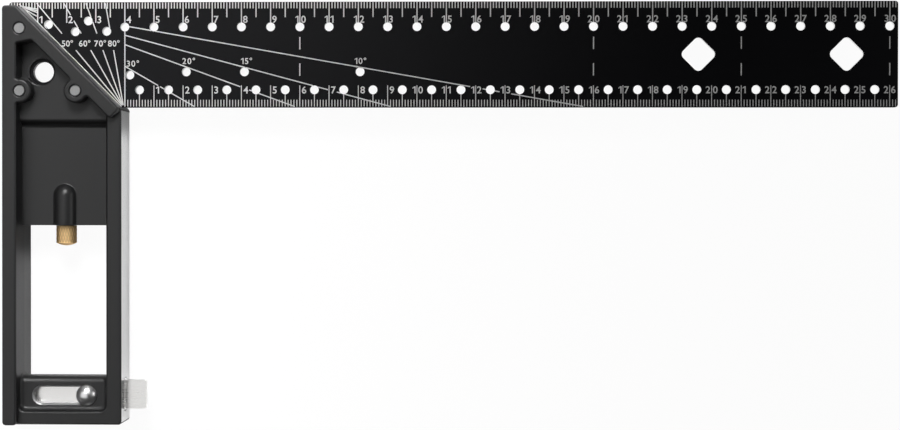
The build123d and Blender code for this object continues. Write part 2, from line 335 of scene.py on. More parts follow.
def node_tree(name: str, sockets: dict[str, str]) -> tuple[Tree, Nodes, bpy.types.Node]:
    """Starts a Geometry Nodes tree with a geometry output.

    Args:
        name: the tree's name.
        sockets: input names with their socket types.

    Returns:
        The tree, its node helper and its input node.
    """
    tree = bpy.data.node_groups.new(name, "GeometryNodeTree")
    tree.interface.new_socket("Geometry", in_out="OUTPUT", socket_type="NodeSocketGeometry")
    for label, kind in sockets.items():
        tree.interface.new_socket(label, in_out="INPUT", socket_type=kind)
    nodes = Nodes(tree)
    return tree, nodes, nodes.add("NodeGroupInput")


def close_tree(nodes: Nodes, geometry: Socket, material: Socket) -> None:
    """Ends a Geometry Nodes tree with real geometry and its material.

    Args:
        nodes: the tree's node helper.
        geometry: the geometry so far.
        material: socket of the material input.
    """
    real = nodes.add("GeometryNodeRealizeInstances", {"Geometry": geometry})
    painted = nodes.add("GeometryNodeSetMaterial", {
        "Geometry": real.outputs[0], "Material": material,
    })
    nodes.add("NodeGroupOutput", {"Geometry": painted.outputs[0]})


def grown(name: str, mesh: Mesh, tree: Tree, values: dict[str, object]) -> Mesh:
    """Runs a Geometry Nodes tree on a mesh.

    Args:
        name: name of the carrier.
        mesh: the mesh that the tree starts from.
        tree: the tree.
        values: the tree's inputs by name.

    Returns:
        The plain resulting mesh.
    """
    carrier = new_object(name, mesh)
    modifier = carrier.modifiers.new(tree.name, "NODES")
    modifier.node_group = tree
    for item in tree.interface.items_tree:
        if item.in_out == "INPUT" and item.name in values:
            modifier[item.identifier] = values[item.name]
    return baked(carrier)


def plane_of(
    seed: bmesh.types.BMFace, done: set[int], flatness: float = 0.99999,
) -> tuple[list[int], float]:
    """Gathers the triangles that lie in one plane with a first one.

    Args:
        seed: the first triangle.
        done: indices of triangles already gathered, which the new ones join.
        flatness: cosine of the largest tilt between them.

    Returns:
        Their indices, and how broad the plane is: twice its area by its outline.
    """
    found, queue, outline = [], [seed], 0.0
    done.add(seed.index)
    while queue:
        face = queue.pop()
        found.append(face)
        for edge in face.edges:
            beside = [
                other for other in edge.link_faces if other.normal.dot(seed.normal) > flatness
            ]
            outline += edge.calc_length() if len(beside) < 2 else 0.0
            for other in beside:
                if other.index not in done:
                    done.add(other.index)
                    queue.append(other)
    area = sum(face.calc_area() for face in found)
    return [face.index for face in found], 2 * area / max(outline, TINY)


def broad_faces(work: Work, breadth: float = 0.6) -> set[int]:
    """Finds the triangles of broad planes.

    Args:
        work: the mesh.
        breadth: breadth in millimetres from which a plane counts.

    Returns:
        Indices of the triangles.
    """
    done, broad = set(), set()
    work.normal_update()
    for face in work.faces:
        if face.index not in done:
            plane, width = plane_of(face, done)
            broad.update(plane if width > breadth * MM else ())
    return broad


def shade_flats(mesh: Mesh, broad: set[int], sharp_angle: float) -> None:
    """Keeps broad planes flat and lets round faces run into them.

    Args:
        mesh: the mesh, shaded smooth.
        broad: indices of the triangles of broad planes.
        sharp_angle: angle in degrees from which an edge stays sharp.
    """
    beside = {}
    for index in broad:
        for corner in mesh.polygons[index].vertices:
            beside.setdefault(corner, []).append(mesh.polygons[index].normal.copy())
    smooth = [corner.vector.copy() for corner in mesh.corner_normals]
    limit = math.cos(math.radians(sharp_angle))
    normals = []
    for face in mesh.polygons:
        own = face.normal.copy()
        for corner, vertex in zip(face.loop_indices, face.vertices):
            near = max(beside.get(vertex, [own]), key=own.dot)
            runs_in = vertex in beside and near.dot(own) > limit
            normals.append(own if face.index in broad else near if runs_in else smooth[corner])
    mesh.normals_split_custom_set(normals)


def joined_copy(node: str, sharp_angle: float) -> Mesh:
    """Copy of a CAD node with its triangles joined and its round faces shaded smooth.

    Args:
        node: name of the node.
        sharp_angle: angle in degrees from which an edge stays sharp.

    Returns:
        The new mesh.
    """
    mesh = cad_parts[node].data.copy()
    work = bmesh.new()
    work.from_mesh(mesh)
    bmesh.ops.remove_doubles(work, verts=work.verts, dist=WELD)
    work.faces.index_update()
    broad = broad_faces(work)
    work.to_mesh(mesh)
    work.free()
    mesh.shade_smooth()
    mesh.set_sharp_from_angle(angle=math.radians(sharp_angle))
    shade_flats(mesh, broad, sharp_angle)
    return mesh


def close_prism(work: Work, low: list, high: list) -> None:
    """Closes two matching outlines into a prism.

    Args:
        work: the mesh to add to.
        low: points of the lower outline.
        high: points of the upper outline, in the same order.
    """
    work.faces.new(low)
    work.faces.new(high)
    for a in range(len(low)):
        b = (a + 1) % len(low)
        work.faces.new((low[a], low[b], high[b], high[a]))


@dataclass
class Stock:
    """Cast handle: powder coated, with bare machined faces."""

    plan: Plan
    width: float = 40.0
    mitre_line: float = 3.0
    slot_centre: tuple[float, float] = (20.0, 134.2)
    slot_half: tuple[float, float] = (11.5, 3.5)
    slot_depth: float = 1.2
    mouth_half: tuple[float, float] = (5.5, 2.5)
    mouth_depth: float = 1.0
    wall_tilt: float = 0.8
    mouth_tilt: float = 0.3
    facing: float = 0.99
    reach: float = 0.05
    sharp_angle: float = 28.0

    def shelf_surface(self, face: Face, across: float, down: float) -> Surface:
        """Tells the milled thumb slot and the bright flared mouth of the plate's channel.

        Args:
            face: a face of the casting.
            across: where its middle stands across the stock.
            down: where its middle stands down the blade.

        Returns:
            Its surface, coated where it is part of neither.
        """
        depth = abs(face.center.z - self.plan.middle) / MM
        beside, above = abs(across - self.slot_centre[0]), abs(down - self.slot_centre[1])
        slot = beside < self.slot_half[0] and above < self.slot_half[1] and depth > self.slot_depth
        if slot and abs(face.normal.z) < self.wall_tilt:
            return Surface.MILLED
        mouth = above < self.mouth_half[0] and depth < self.mouth_half[1]
        flared = across > self.width - self.mouth_depth and face.normal.x > self.mouth_tilt
        return Surface.BRIGHT if mouth and flared else Surface.COATED

    def surface_of(self, face: Face) -> Surface:
        """Tells coated, machined and milled faces apart.

        Args:
            face: a face of the casting.

        Returns:
            Its surface.
        """
        across = (face.center.x - self.plan.outer) / MM
        down = (self.plan.top - face.center.y) / MM
        slope = Vector((1, 1, 0)).normalized().dot(face.normal)
        if slope > self.facing and abs(across - down - self.mitre_line) < self.reach:
            return Surface.MITRE
        if face.normal.x < -self.facing and abs(across) < self.reach:
            return Surface.MILLED
        if face.normal.x > self.facing and abs(across - self.width) < self.reach:
            return Surface.BRIGHT
        return self.shelf_surface(face, across, down)

    def dress(self) -> None:
        """Puts the finished casting in the place of its node."""
        mesh = joined_copy("stock", self.sharp_angle)
        finishes = [finish.material() for finish in (POWDER_COAT, MACHINED, MILLED, MITRE_SHADED)]
        casting = new_object("stock_casting", mesh, *finishes)
        surfaces = [self.surface_of(face) for face in mesh.polygons]
        mesh.polygons.foreach_set("material_index", [surface.value for surface in surfaces])
        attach(casting, "square")
        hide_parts("stock")
        coated = surfaces.count(Surface.COATED)
        LOG.info("stock_casting: %d faces, %d coated", len(surfaces), coated)


@dataclass
class Blade:
    """Coated steel strip, with bare walls where it was pierced after coating."""

    outer_band: float = 0.4
    wall_tilt: float = 0.1
    sharp_angle: float = 28.0

    def is_pierced(self, face: Face, low: Vector, high: Vector) -> bool:
        """Tells the walls of holes and windows from the outer faces.

        Args:
            face: a face of the blade.
            low: lowest corner of the blade's box.
            high: highest corner of the blade's box.

        Returns:
            True where the face is the wall of an opening.
        """
        spot = face.center
        inside = min(spot.x - low.x, high.x - spot.x, spot.y - low.y, high.y - spot.y)
        return abs(face.normal.z) < self.wall_tilt and inside > self.outer_band * MM

    def dress(self) -> None:
        """Puts the finished blade in the place of its node."""
        mesh = joined_copy("blade", self.sharp_angle)
        strip = new_object("coated_blade", mesh, BLADE_COAT.material(), BARE_STEEL.material())
        low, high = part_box("blade")
        bare = [self.is_pierced(face, low, high) for face in mesh.polygons]
        mesh.polygons.foreach_set("material_index", [int(flag) for flag in bare])
        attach(strip, "square")
        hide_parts("blade")
        LOG.info("coated_blade: %d faces, %d bare", len(bare), sum(bare))


@dataclass(frozen=True)
class Hole:
    """Round hole in the blade, in plan millimetres."""

    across: float
    down: float
    radius: float = 1.5

    def covers(self, start: Vector, end: Vector) -> tuple[float, float]:
        """Shares of a line between which it runs over the hole.

        Args:
            start: plan start of the line.
            end: plan end of the line.

        Returns:
            The two shares, equal where the line misses the hole.
        """
        run = end - start
        middle = (Vector((self.across, self.down)) - start).dot(run) / run.length_squared
        gap = (start + run * middle - Vector((self.across, self.down))).length
        half = math.sqrt(max(0.0, self.radius**2 - gap**2)) / run.length
        return middle - half, middle + half


@dataclass(frozen=True)
class Plate:
    """Upright box round a printed figure, in plan millimetres."""

    left: float
    right: float
    top: float
    foot: float

    def covers(self, start: Vector, end: Vector) -> tuple[float, float]:
        """Shares of a line between which it runs over the box.

        Args:
            start: plan start of the line.
            end: plan end of the line.

        Returns:
            The two shares, equal where the line misses the box.
        """
        first, last = -math.inf, math.inf
        for low, high, begin, run in (
            (self.left, self.right, start.x, end.x - start.x),
            (self.top, self.foot, start.y, end.y - start.y),
        ):
            if abs(run) < TINY:
                first, last = (first, last) if low < begin < high else (0.0, 0.0)
                continue
            near, far = sorted(((low - begin) / run, (high - begin) / run))
            first, last = max(first, near), min(last, far)
        return (first, last) if first < last else (0.0, 0.0)


def clear_runs(
    start: Vector, end: Vector, obstacles: list, shortest: float = 0.3,
) -> list[tuple[Vector, Vector]]:
    """Cuts a printed line where holes and figures are.

    Args:
        start: plan start of the line.
        end: plan end of the line.
        obstacles: holes and boxes that it keeps off.
        shortest: length in millimetres from which a stretch is printed.

    Returns:
        The stretches that are left.
    """
    runs, reached = [], 0.0
    for first, last in sorted(item.covers(start, end) for item in obstacles):
        if last <= first or last <= reached or first >= 1.0:
            continue
        if first > reached:
            runs.append((reached, first))
        reached = last
    if reached < 1.0:
        runs.append((reached, 1.0))
    least = shortest / (end - start).length
    return [(start.lerp(end, a), start.lerp(end, b)) for a, b in runs if b - a > least]


@dataclass(frozen=True)
class TickRow:
    """Millimetre scale along one edge of the blade."""

    zero: float
    first: int
    last: int
    edge: float
    inward: int
    short: float
    half: float
    full: float
    width: float
    figures: range
    figure_foot: float
    foot_clear: float
    figure_gap: float


@dataclass
class Graduation:
    """White marks printed on one face of the blade."""

    plan: Plan
    side: Side
    blade_half: float = 1.0
    blade_height: float = 36.0
    stop: float = 40.0
    pitch: float = 10.0
    half_every: float = 5.0
    full_every: float = 10.0
    upper_row: float = 8.5
    upper_holes: int = 27
    lower_row: float = 30.0
    lower_holes: int = 26
    line_width: float = 0.37
    film: float = 0.02
    line_film: float = 0.8
    figure_film: float = 1.2
    font_half: float = 0.01
    font_weight: float = 0.014
    font_steps: int = 4
    figure_height: float = 2.35
    label_height: float = 2.0
    figure_gap: float = 0.45
    flag: tuple = (0.19, 0.13, 0.11)
    figure_clear: float = 0.35
    top_inset: float = 0.1
    foot_inset: float = 0.3
    low_angles: tuple = ((10, 8.1), (15, 11.3), (20, 14.5), (30, 21.9))
    high_angles: tuple = (50, 60, 70, 80)
    fan_foot: float = 39.58
    fan_breaks: tuple = ((35.2, 16.4), (10.7, 0.3))
    corner_fan: tuple = (3.5, 1.2)
    corner_fan_end: float = 10.0
    mitre_line: float = 3.0
    mitre_gap: float = 0.08
    mitre_inset: float = 0.5
    labels: tuple = (
        ("50°", 18.3, 15.1, 0.22), ("60°", 24.2, 15.1, 0.22), ("70°", 29.5, 15.1, 0.22),
        ("80°", 34.2, 15.1, 0.22), ("30°", 40.65, 22.0, 0.45), ("20°", 59.75, 21.15, 0.42),
        ("15°", 79.85, 21.15, 0.42), ("10°", 118.75, 21.15, 0.42),
    )
    dashed: tuple = (100.0, 200.0, 250.0, 300.0)
    dashes: tuple = ((12.0, 16.2), (21.0, 25.2))
    low_angle_holes: tuple = ((41.7, 24.9), (61.1, 23.85), (81.05, 23.85), (120.6, 23.85))
    high_angle_holes: tuple = ((13.7, 7.6), (22.95, 10.05), (27.45, 6.4), (33.75, 9.95))
    glyphs: dict = field(default_factory=dict)
    boxes: list = field(default_factory=list)

    def rows(self) -> tuple[TickRow, TickRow]:
        """Sets out the two scales.

        Returns:
            The outer scale on the top edge and the inner scale on the bottom edge.
        """
        outer = TickRow(
            zero=0.0, first=1, last=302, edge=0.1, inward=1, short=2.1, half=5.1, full=6.9,
            width=0.39, figures=range(1, 31), figure_foot=7.1, foot_clear=1.2, figure_gap=0.55,
        )
        inner = TickRow(
            zero=self.stop, first=1, last=262, edge=35.7, inward=-1, short=2.3, half=4.2, full=7.2,
            width=0.29, figures=range(1, 27), figure_foot=31.2, foot_clear=0.35, figure_gap=0.7,
        )
        return outer, inner

    def holes(self) -> list[Hole]:
        """Sets out the marking holes of the blade.

        Returns:
            Both rows of holes and those of the angles.
        """
        places = []
        for start, down, count in (
            (self.stop, self.upper_row, self.upper_holes),
            (self.stop + self.pitch / 2, self.lower_row, self.lower_holes),
        ):
            places += [(start + self.pitch * step, down) for step in range(count)]
        places += self.low_angle_holes + self.high_angle_holes
        return [Hole(across, down) for across, down in places]

    def point(self, across: float, down: float, depth: float) -> Vector:
        """Frame point on the printed face, a depth above the metal."""
        return self.plan.at(across, down, self.side.value * (self.blade_half + depth))

    def tick_tree(self) -> Tree:
        """Builds the tree that sets out a row of ticks in three lengths.

        Returns:
            The tree.
        """
        names = ("Pitch", "Width", "Film", "Short", "Half", "Full")
        sizes = dict.fromkeys(names, "NodeSocketFloat")
        tree, nodes, given = node_tree("scale_ticks", sizes | {
            "Count": "NodeSocketInt", "First": "NodeSocketInt", "Start": "NodeSocketVector",
            "Material": "NodeSocketMaterial",
        })
        value = given.outputs
        step = nodes.add("ShaderNodeCombineXYZ", {"X": value["Pitch"]})
        line = nodes.add("GeometryNodeMeshLine", {
            "Count": value["Count"], "Start Location": value["Start"], "Offset": step.outputs[0],
        }, mode="OFFSET")
        number = nodes.math("ADD", nodes.add("GeometryNodeInputIndex").outputs[0], value["First"])
        length = value["Short"]
        for every, longer in ((self.half_every, value["Half"]), (self.full_every, value["Full"])):
            left = nodes.math("MODULO", number, every)
            length = nodes.add("GeometryNodeSwitch", {
                "Switch": nodes.math("LESS_THAN", left, 0.5), "False": length, "True": longer,
            }, input_type="FLOAT").outputs[0]
        size = nodes.add("ShaderNodeCombineXYZ", {
            "X": value["Width"], "Y": nodes.math("ABSOLUTE", length), "Z": value["Film"],
        })
        shift = nodes.add("ShaderNodeCombineXYZ", {"Y": nodes.math("MULTIPLY", length, 0.5)})
        moved = nodes.add("GeometryNodeSetPosition", {
            "Geometry": line.outputs[0], "Offset": shift.outputs[0],
        })
        bar = nodes.add("GeometryNodeMeshCube", {"Size": (1.0, 1.0, 1.0)})
        ticks = nodes.add("GeometryNodeInstanceOnPoints", {
            "Points": moved.outputs[0], "Instance": bar.outputs[0], "Scale": size.outputs[0],
        })
        close_tree(nodes, ticks.outputs[0], value["Material"])
        return tree

    def ticks(self, row: TickRow, tree: Tree, ink: Material) -> Mesh:
        """Makes one row of ticks.

        Args:
            row: the scale.
            tree: the tree that sets out ticks.
            ink: their material.

        Returns:
            The ticks' mesh.
        """
        return grown("ticks", bpy.data.meshes.new("ticks"), tree, {
            "Count": row.last - row.first + 1,
            "First": row.first,
            "Start": self.point(row.zero + row.first, row.edge, 0.0),
            "Pitch": MM,
            "Width": row.width * MM,
            "Film": 2 * self.film * MM,
            "Short": -row.inward * row.short * MM,
            "Half": -row.inward * row.half * MM,
            "Full": -row.inward * row.full * MM,
            "Material": ink,
        })

    def bar(self, work: Work, start: Vector, end: Vector) -> None:
        """Adds one straight printed line.

        Args:
            work: the mesh to add to.
            start: plan start of the line.
            end: plan end of the line.
        """
        side = (end - start).orthogonal().normalized() * (self.line_width / 2)
        corners = [start - side, end - side, end + side, start + side]
        low, high = [
            [work.verts.new(self.point(*corner, depth)) for corner in corners]
            for depth in (-self.film, self.line_film * self.film)
        ]
        close_prism(work, low, high)

    def glyph(self, sign: str) -> Mesh:
        """Mesh of one figure in font units, made once.

        Args:
            sign: the figure.

        Returns:
            Its mesh.
        """
        if sign not in self.glyphs:
            text = bpy.data.curves.new(f"figure_{ord(sign)}", "FONT")
            text.body = sign
            text.extrude = self.font_half
            text.offset = self.font_weight
            text.resolution_u = self.font_steps
            carrier = bpy.data.objects.new(text.name, text)
            bpy.context.scene.collection.objects.link(carrier)
            self.glyphs[sign] = self.flagged(baked(carrier)) if sign == "1" else baked(carrier)
        return self.glyphs[sign]

    def flagged(self, stem: Mesh) -> Mesh:
        """Adds the slanted stroke at the head of a one.

        Args:
            stem: mesh of the bare upright stroke.

        Returns:
            The same mesh with its flag.
        """
        places = [vertex.co for vertex in stem.vertices]
        edge, top = min(place.x for place in places), max(place.y for place in places)
        reach, drop, stroke = self.flag
        end, foot = edge - reach, top - drop
        outline = [(edge, top), (end, foot), (end, foot - stroke), (edge, top - stroke)]
        levels = [place.z for place in places]
        work = bmesh.new()
        work.from_mesh(stem)
        low, high = [
            [work.verts.new((x, y, z)) for x, y in outline] for z in (min(levels), max(levels))
        ]
        close_prism(work, low, high)
        work.to_mesh(stem)
        work.free()
        return stem

    def span(self, sign: str) -> tuple[float, float]:
        """Left and right limits of a figure in font units."""
        places = [vertex.co.x for vertex in self.glyph(sign).vertices]
        return min(places), max(places)

    def scale(self, height: float) -> float:
        """Millimetres in one font unit where figures have a height."""
        return height / max(vertex.co.y for vertex in self.glyph("1").vertices)

    def width(self, sign: str, height: float) -> float:
        """Width of a figure that has a height."""
        begin, finish = self.span(sign)
        return (finish - begin) * self.scale(height)

    def stamp(self, work: Work, sign: str, left: float, foot: float, height: float) -> None:
        """Prints one figure.

        Args:
            work: the mesh to add to.
            sign: the figure.
            left: where its reader's left edge stands across the blade.
            foot: where its foot stands down the blade.
            height: its height.
        """
        turn, scale = self.side.value, self.scale(height)
        thin = self.figure_film * self.film / self.font_half
        flat = Matrix.Diagonal((turn * scale * MM, scale * MM, turn * thin * MM, 1.0))
        place = self.point(left - turn * self.span(sign)[0] * scale, foot, 0.0)
        move = Matrix.Translation(place) @ flat
        before = len(work.verts)
        work.from_mesh(self.glyph(sign))
        work.verts.ensure_lookup_table()
        bmesh.ops.transform(work, matrix=move, verts=work.verts[before:])

    def figure(self, work: Work, number: int, row: TickRow) -> None:
        """Prints a scale figure at its tick: one digit after it, or one on each side.

        Args:
            work: the mesh to add to.
            number: the figure.
            row: the scale that it belongs to.
        """
        across, foot = row.zero + self.pitch * number, row.figure_foot
        signs, height = str(number), self.figure_height
        turn = self.side.value
        limits, gap = [across], row.figure_gap
        if len(signs) == 2:
            gap = self.figure_gap
            left = across - turn * (gap + self.width(signs[0], height))
            self.stamp(work, signs[0], left, foot, height)
            limits.append(left)
        left = across + turn * gap
        self.stamp(work, signs[-1], left, foot, height)
        limits.append(left + turn * self.width(signs[-1], height))
        clear = self.figure_clear
        self.boxes.append(Plate(
            left=min(limits) - clear, right=max(limits) + clear,
            top=foot - height - clear, foot=foot + row.foot_clear,
        ))

    def label(self, work: Work, words: str, across: float, foot: float, gap: float) -> None:
        """Prints an angle label.

        Args:
            work: the mesh to add to.
            words: the label.
            across: its left edge on the front of the blade.
            foot: where its foot stands.
            gap: space between its figures.
        """
        turn = self.side.value
        order = words if turn > 0 else words[::-1]
        for sign in order:
            width = self.width(sign, self.label_height)
            left = across if turn > 0 else across + width
            self.stamp(work, sign, left, foot, self.label_height)
            across += width + gap

    def lines(self) -> list[tuple[Vector, Vector]]:
        """Plan lines of the angle fans, the stop line and the dashed lines.

        Returns:
            Starts and ends.
        """
        foot = self.blade_height - self.foot_inset
        made = [(Vector((self.stop, self.top_inset)), Vector((self.stop, foot)))]
        for angle, start in self.low_angles:
            run = (foot - start) / math.tan(math.radians(angle))
            made.append((Vector((self.stop, start)), Vector((self.stop + run, foot))))
        for angle in self.high_angles:
            lean = 1 / math.tan(math.radians(angle))
            for stretch in self.fan_breaks:
                made.append(tuple(
                    Vector((self.fan_foot - (self.blade_height - down) * lean, down))
                    for down in stretch
                ))
        start = self.mitre_line + self.mitre_gap
        apex = Vector(self.corner_fan)
        for angle, _ in self.low_angles:
            rise = math.tan(math.radians(angle))
            near = (start - apex.x + apex.y) / (1 - rise)
            far = self.corner_fan_end - apex.x
            made.append((apex + Vector((near, near * rise)), apex + Vector((far, far * rise))))
        for across in self.dashed:
            made += [(Vector((across, top)), Vector((across, end))) for top, end in self.dashes]
        return made

    def mitre(self) -> tuple[Vector, Vector]:
        """Plan line along the foot of the mitre face.

        Returns:
            Its start and end.
        """
        start = self.mitre_line + self.mitre_gap
        ends = (self.mitre_inset, self.blade_height - self.foot_inset)
        return tuple(Vector((start + down, down)) for down in ends)

    def build(self, ink: Material) -> Mesh:
        """Makes all marks of one face.

        Args:
            ink: the marks' material.

        Returns:
            One mesh with ticks, figures, labels and lines.
        """
        work = bmesh.new()
        tree = self.tick_tree()
        for row in self.rows():
            work.from_mesh(self.ticks(row, tree, ink))
            for number in row.figures:
                self.figure(work, number, row)
        for label in self.labels:
            self.label(work, *label)
        obstacles = self.holes() + self.boxes
        for start, end in self.lines():
            for run in clear_runs(start, end, obstacles):
                self.bar(work, *run)
        self.bar(work, *self.mitre())
        bmesh.ops.recalc_face_normals(work, faces=work.faces)
        mesh = bpy.data.meshes.new("graduation")
        work.to_mesh(mesh)
        work.free()
        return mesh

    def dress(self, ink: Material) -> None:
        """Prints the face.

        Args:
            ink: the marks' material.
        """
        mesh = self.build(ink)
        printed = new_object(f"graduation_{self.side.name.lower()}", mesh, ink)
        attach(printed, "square")
        LOG.info("%s: %d faces", printed.name, len(mesh.polygons))


@dataclass
class Knob:
    """Brass scriber knob with a diamond knurl, its shank and ring groove."""

    plan: Plan
    across: float = 19.7
    near: float = 76.4
    far: float = 83.25
    radius: float = 3.5
    dome: float = 1.0
    collar: float = 0.12
    # Reach of the painted shade on the knob rings next to the boss's mouth, where the boss shades
    # them.
    stain: float = 0.35
    shank_radius: float = 2.35
    shank_near: float = 70.1
    shank_chamfer: float = 0.2
    groove: tuple = (73.0, 74.0)
    groove_depth: float = 0.8
    seat_radius: float = 1.01
    seat_far: float = 80.9
    teeth: int = 22
    lead: float = 2.9
    depth: float = 0.15
    collar_share: float = 0.6
    groove_power: float = 3.5
    pole: float = 0.001
    segments: int = 224
    rings: int = 48
    dome_rings: int = 8
    sharp_angle: float = 25.0

    def profile(self) -> list[tuple[float, float, float]]:
        """Outline of the knob from its outer end to the foot of the needle's seat.

        Returns:
            Places down, radii and how deep the knurl is there, from 0 to 1.
        """
        line = [(self.far, self.pole, 0.0)]
        ball = (self.radius**2 + self.dome**2) / (2 * self.dome)
        rim = math.asin(self.radius / ball)
        for step in range(1, self.dome_rings + 1):
            turn = rim * step / self.dome_rings
            line.append((self.far - ball * (1 - math.cos(turn)), ball * math.sin(turn), 0.0))
        top, foot = self.far - self.dome, self.near + self.collar
        for ring in range(1, self.rings):
            line.append((top + (foot - top) * ring / self.rings, self.radius, 1.0))
        line.append((foot, self.radius, self.collar_share))
        (near, far), shank, chamfer = self.groove, self.shank_radius, self.shank_chamfer
        inner = shank - self.groove_depth
        plain = [
            (self.near, self.radius - self.collar), (self.near, shank),
            (far, shank), (far, inner), (near, inner), (near, shank),
            (self.shank_near + chamfer, shank), (self.shank_near, shank - chamfer),
            (self.shank_near, self.seat_radius), (self.seat_far, self.seat_radius),
            (self.seat_far, self.pole),
        ]
        return line + [(down, radius, 0.0) for down, radius in plain]

    def turned(self) -> Mesh:
        """Turns the profile about the knob's axis.

        Returns:
            A closed mesh with the knurl's depth and a painted shade next to the boss's mouth as
            attributes.
        """
        work = bmesh.new()
        weight = work.verts.layers.float.new("knurl")
        stain = work.verts.layers.float.new("stain")
        rows = []
        for down, radius, share in self.profile():
            row = []
            for step in range(self.segments):
                turn = 2 * math.pi * step / self.segments
                offset = radius * math.cos(turn)
                place = self.plan.at(self.across + offset, down, radius * math.sin(turn))
                vertex = work.verts.new(place)
                vertex[weight] = share
                # Rings next to the boss's mouth get painted shade.
                vertex[stain] = float(down < self.near + self.stain)
                row.append(vertex)
            rows.append(row)
        for low, high in zip(rows, rows[1:]):
            for a in range(self.segments):
                b = (a + 1) % self.segments
                work.faces.new((low[a], low[b], high[b], high[a]))
        for row in (rows[0], rows[-1]):
            middle = sum((vertex.co for vertex in row), Vector()) / len(row)
            bmesh.ops.pointmerge(work, verts=row, merge_co=middle)
        bmesh.ops.recalc_face_normals(work, faces=work.faces)
        mesh = bpy.data.meshes.new("knob")
        work.to_mesh(mesh)
        work.free()
        return mesh

    def knurl_tree(self) -> Tree:
        """Builds the tree that presses two crossing sets of grooves into a turned mesh and stores
        their darkening: dirt and painted shade in the grooves, painted shade at the boss.

        Returns:
            The tree.
        """
        sizes = dict.fromkeys(("Teeth", "Lead", "Depth"), "NodeSocketFloat")
        tree, nodes, given = node_tree("diamond_knurl", {
            "Geometry": "NodeSocketGeometry", "Axis": "NodeSocketVector", **sizes,
            "Material": "NodeSocketMaterial",
        })
        value = given.outputs
        place = nodes.add("GeometryNodeInputPosition").outputs[0]
        part = nodes.parts_from(place, value["Axis"])
        turns = nodes.math("DIVIDE", nodes.math("ARCTAN2", part["Z"], part["X"]), 2 * math.pi)
        around = nodes.math("MULTIPLY", turns, value["Teeth"])
        along = nodes.math("DIVIDE", part["Y"], value["Lead"])
        right = nodes.math("PINGPONG", nodes.math("ADD", around, along), 0.5)
        left = nodes.math("PINGPONG", nodes.math("SUBTRACT", around, along), 0.5)
        rise = nodes.math("MULTIPLY", nodes.math("MINIMUM", right, left), 2.0)
        named = "GeometryNodeInputNamedAttribute"
        weight, stain = [
            nodes.add(named, {"Name": name}, data_type="FLOAT").outputs[0]
            for name in ("knurl", "stain")
        ]
        deep = nodes.math("MULTIPLY", weight, value["Depth"])
        sunk = nodes.math("MULTIPLY", nodes.math("SUBTRACT", rise, 1.0), deep)
        flat = nodes.add("ShaderNodeCombineXYZ", {"X": part["X"], "Z": part["Z"]})
        outward = nodes.add("ShaderNodeVectorMath", {0: flat.outputs[0]}, operation="NORMALIZE")
        push = nodes.add("ShaderNodeVectorMath", {
            0: outward.outputs[0], "Scale": sunk,
        }, operation="SCALE")
        pressed = nodes.add("GeometryNodeSetPosition", {
            "Geometry": value["Geometry"], "Offset": push.outputs["Vector"],
        })
        # Darkening to store: dirt and painted shade deep in the knurl's grooves, painted shade
        # next to the boss's mouth.
        line = nodes.math("POWER", nodes.math("SUBTRACT", 1.0, rise), self.groove_power)
        dirt_and_shade = nodes.math("MAXIMUM", nodes.math("MULTIPLY", line, weight), stain)
        marked = nodes.add("GeometryNodeStoreNamedAttribute", {
            "Geometry": pressed.outputs[0], "Name": "groove", "Value": dirt_and_shade,
        }, data_type="FLOAT", domain="POINT")
        close_tree(nodes, marked.outputs[0], value["Material"])
        return tree

    def dress(self) -> None:
        """Puts the knurled knob in the place of its node."""
        brass = KNOB_BRASS.material()
        mesh = grown("knob", self.turned(), self.knurl_tree(), {
            "Axis": self.plan.at(self.across, self.near), "Teeth": float(self.teeth),
            "Lead": self.lead * MM, "Depth": self.depth * MM, "Material": brass,
        })
        mesh.shade_smooth()
        mesh.set_sharp_from_angle(angle=math.radians(self.sharp_angle))
        knob = new_object("knurled_knob", mesh, brass)
        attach(knob, "scriber")
        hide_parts("scriber_knob")
        LOG.info("knurled_knob: %d faces", len(mesh.polygons))


@dataclass
class Fittings:
    """Pieces whose CAD shape stays and only gets its finish."""

    finishes: dict = field(default_factory=lambda: {
        RIVET_STEEL: ("corner_rivet", "heel_rivet", "mitre_rivet"),
        PLATE_STEEL: ("support_plate",),
        STUD_CHROME: ("thumb_stud", "stud_cap"),
        SPRING_STEEL: ("slide_spring",),
        NEEDLE_STEEL: ("scriber_needle",),
        RING_RUBBER: ("scriber_ring",),
    })

    def dress(self) -> None:
        """Gives each node its material."""
        for finish, names in self.finishes.items():
            material = finish.material()
            for name in names:
                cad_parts[name].material_slots[0].material = material
                LOG.info("%s: %s", name, finish.name)


@dataclass(frozen=True)
class Lamp:
    """Soft lamp aimed at a point, in metres, watts and degrees."""

    name: str
    place: tuple[float, float, float]
    aim: tuple[float, float, float]
    size: tuple[float, float]
    power: float
    spread: float = 180.0

    def build(self) -> None:
        """Adds the lamp to the scene."""
        data = bpy.data.lights.new(self.name, "AREA")
        data.shape = "RECTANGLE"
        data.size, data.size_y = self.size
        data.energy = self.power
        data.spread = math.radians(self.spread)
        lamp = bpy.data.objects.new(self.name, data)
        lamp.location = self.place
        beam = Vector(self.aim) - Vector(self.place)
        lamp.rotation_euler = beam.to_track_quat("-Z", "Y").to_euler()
        bpy.context.scene.collection.objects.link(lamp)


